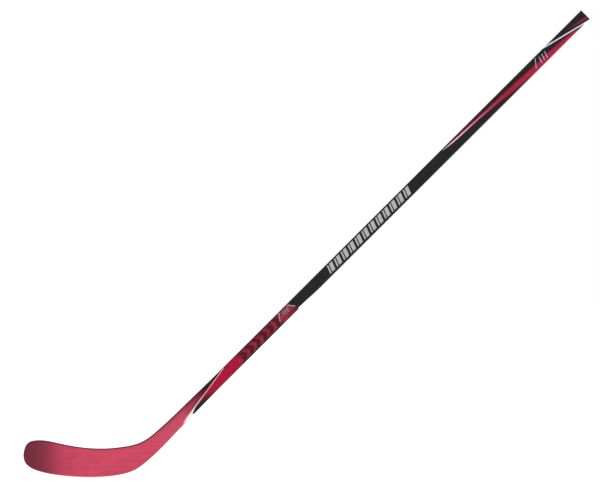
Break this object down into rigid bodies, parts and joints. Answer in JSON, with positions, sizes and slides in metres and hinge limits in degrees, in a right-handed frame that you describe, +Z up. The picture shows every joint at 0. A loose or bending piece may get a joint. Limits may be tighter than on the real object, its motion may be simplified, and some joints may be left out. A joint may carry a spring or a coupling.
{
  "type": "ice hockey stick",
  "caption": "Left-handed ice hockey stick: hollow rounded-rectangle shaft, fused curved blade, butt plug and printed transfers.",
  "frame": {"origin": "where the shaft's centre line meets the ice plane, below the heel", "axes": "+Z up from the ice; the blade's toe points to -X and the shaft rises towards +X at 45 degrees; +Y is the forehand side, towards which the toe curls"},
  "size_m": [1.3298, 0.0455, 1.0976],
  "materials": {
    "cap_plastic": "satin",
    "black_ply": "satin",
    "grey_laminate": "matte",
    "foam": "matte",
    "adhesive": "satin",
    "red_laminate": "satin",
    "red_edge": "satin",
    "crimson_ink": "gloss",
    "maroon_ink": "gloss",
    "white_ink": "gloss",
    "silver_ink": "satin",
    "grey_ink": "gloss",
    "pink_ink": "gloss",
    "black_ink": "gloss"
  },
  "bodies": {
    "root": {"butt_cap": "cap_plastic", "shaft_outer_ply": "black_ply", "shaft_tube": "grey_laminate", "damping_foam": "foam", "tenon_shell": "grey_laminate", "tenon_core": "foam", "bond_sleeve": "adhesive", "hosel_core": "grey_laminate", "backhand_skin": "red_laminate", "forehand_skin": "red_laminate", "blade_rim": "red_edge", "toe_insert": "adhesive", "bridge_rib": "grey_laminate", "lower_foam_core": "foam", "upper_foam_core": "foam", "maroon_glow_film": "maroon_ink", "white_stripe_film": "white_ink", "upper_flash_film": "crimson_ink", "highlight_streak_film": "pink_ink", "upper_emblem_film": "silver_ink", "silver_bars_film": "silver_ink", "side_flash_film": "grey_ink", "lower_wrap_film": "crimson_ink", "emblem_field_film": "pink_ink", "lower_emblem_film": "silver_ink", "dark_marks_film": "black_ink", "neck_fade_film": "crimson_ink", "pinstripe_film": "white_ink"}
  },
  "joints": []
}
